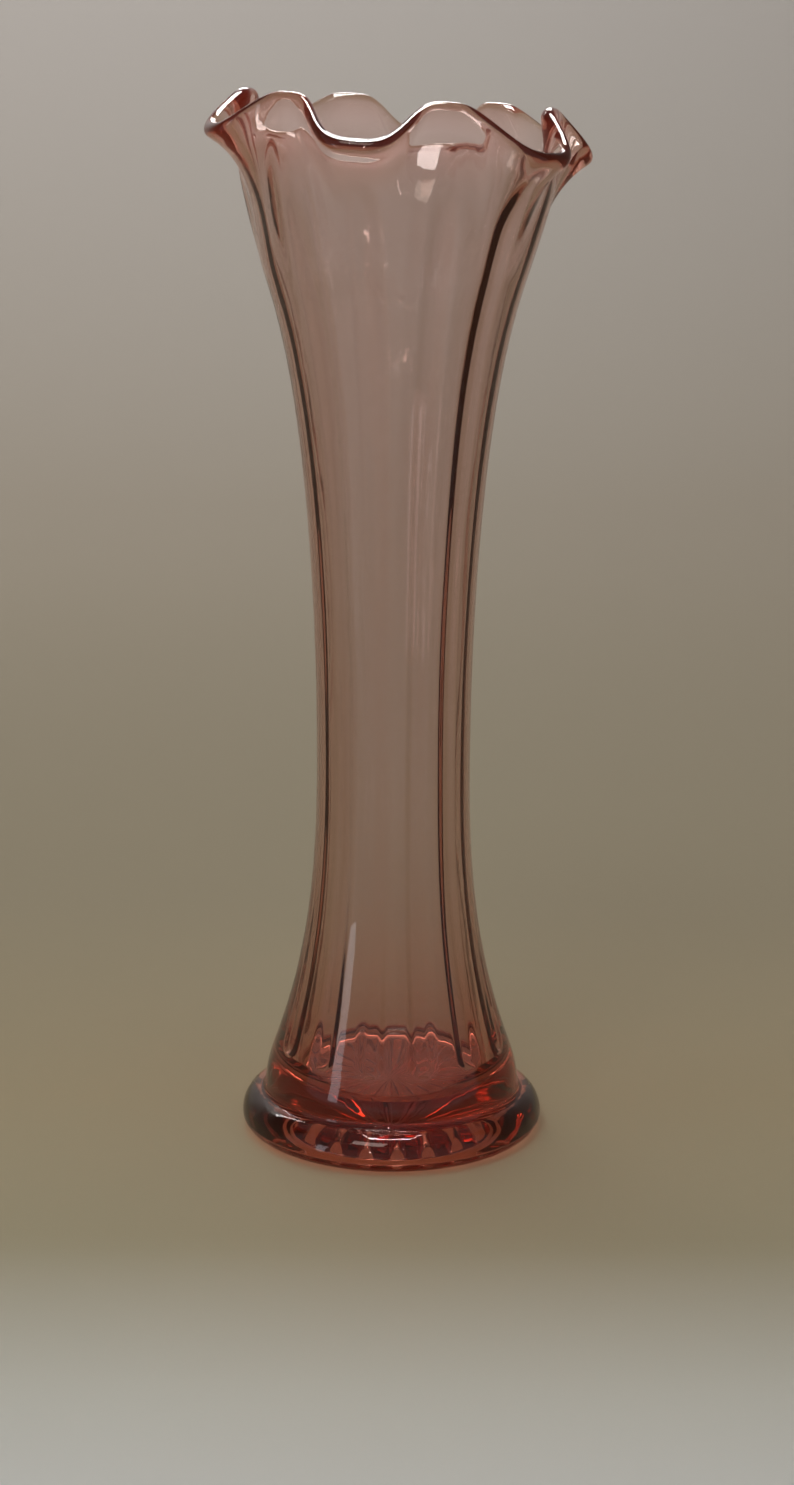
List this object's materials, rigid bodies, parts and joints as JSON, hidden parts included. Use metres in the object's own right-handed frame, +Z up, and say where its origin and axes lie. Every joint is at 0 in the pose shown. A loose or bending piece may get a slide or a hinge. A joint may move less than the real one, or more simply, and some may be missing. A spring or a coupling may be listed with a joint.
{
  "type": "bud vase",
  "caption": "Tall pressed glass bud vase with a star-pressed foot, a bell-shaped base, a ribbed neck and a crimped, ruffled mouth.",
  "frame": {"origin": "centre of the ring under the foot that the vase rests on", "axes": "+Z up the vase's axis, -Y towards the front of the vase; the rim dips towards +X"},
  "size_m": [0.0839, 0.0854, 0.2362],
  "materials": {
    "pink_glass": "clear rose-pink pressed glass, fire-polished at the rim"
  },
  "bodies": {
    "root": {"star_foot": "pink_glass", "bell_base": "pink_glass", "ribbed_neck": "pink_glass", "ruffled_mouth": "pink_glass"}
  },
  "joints": []
}
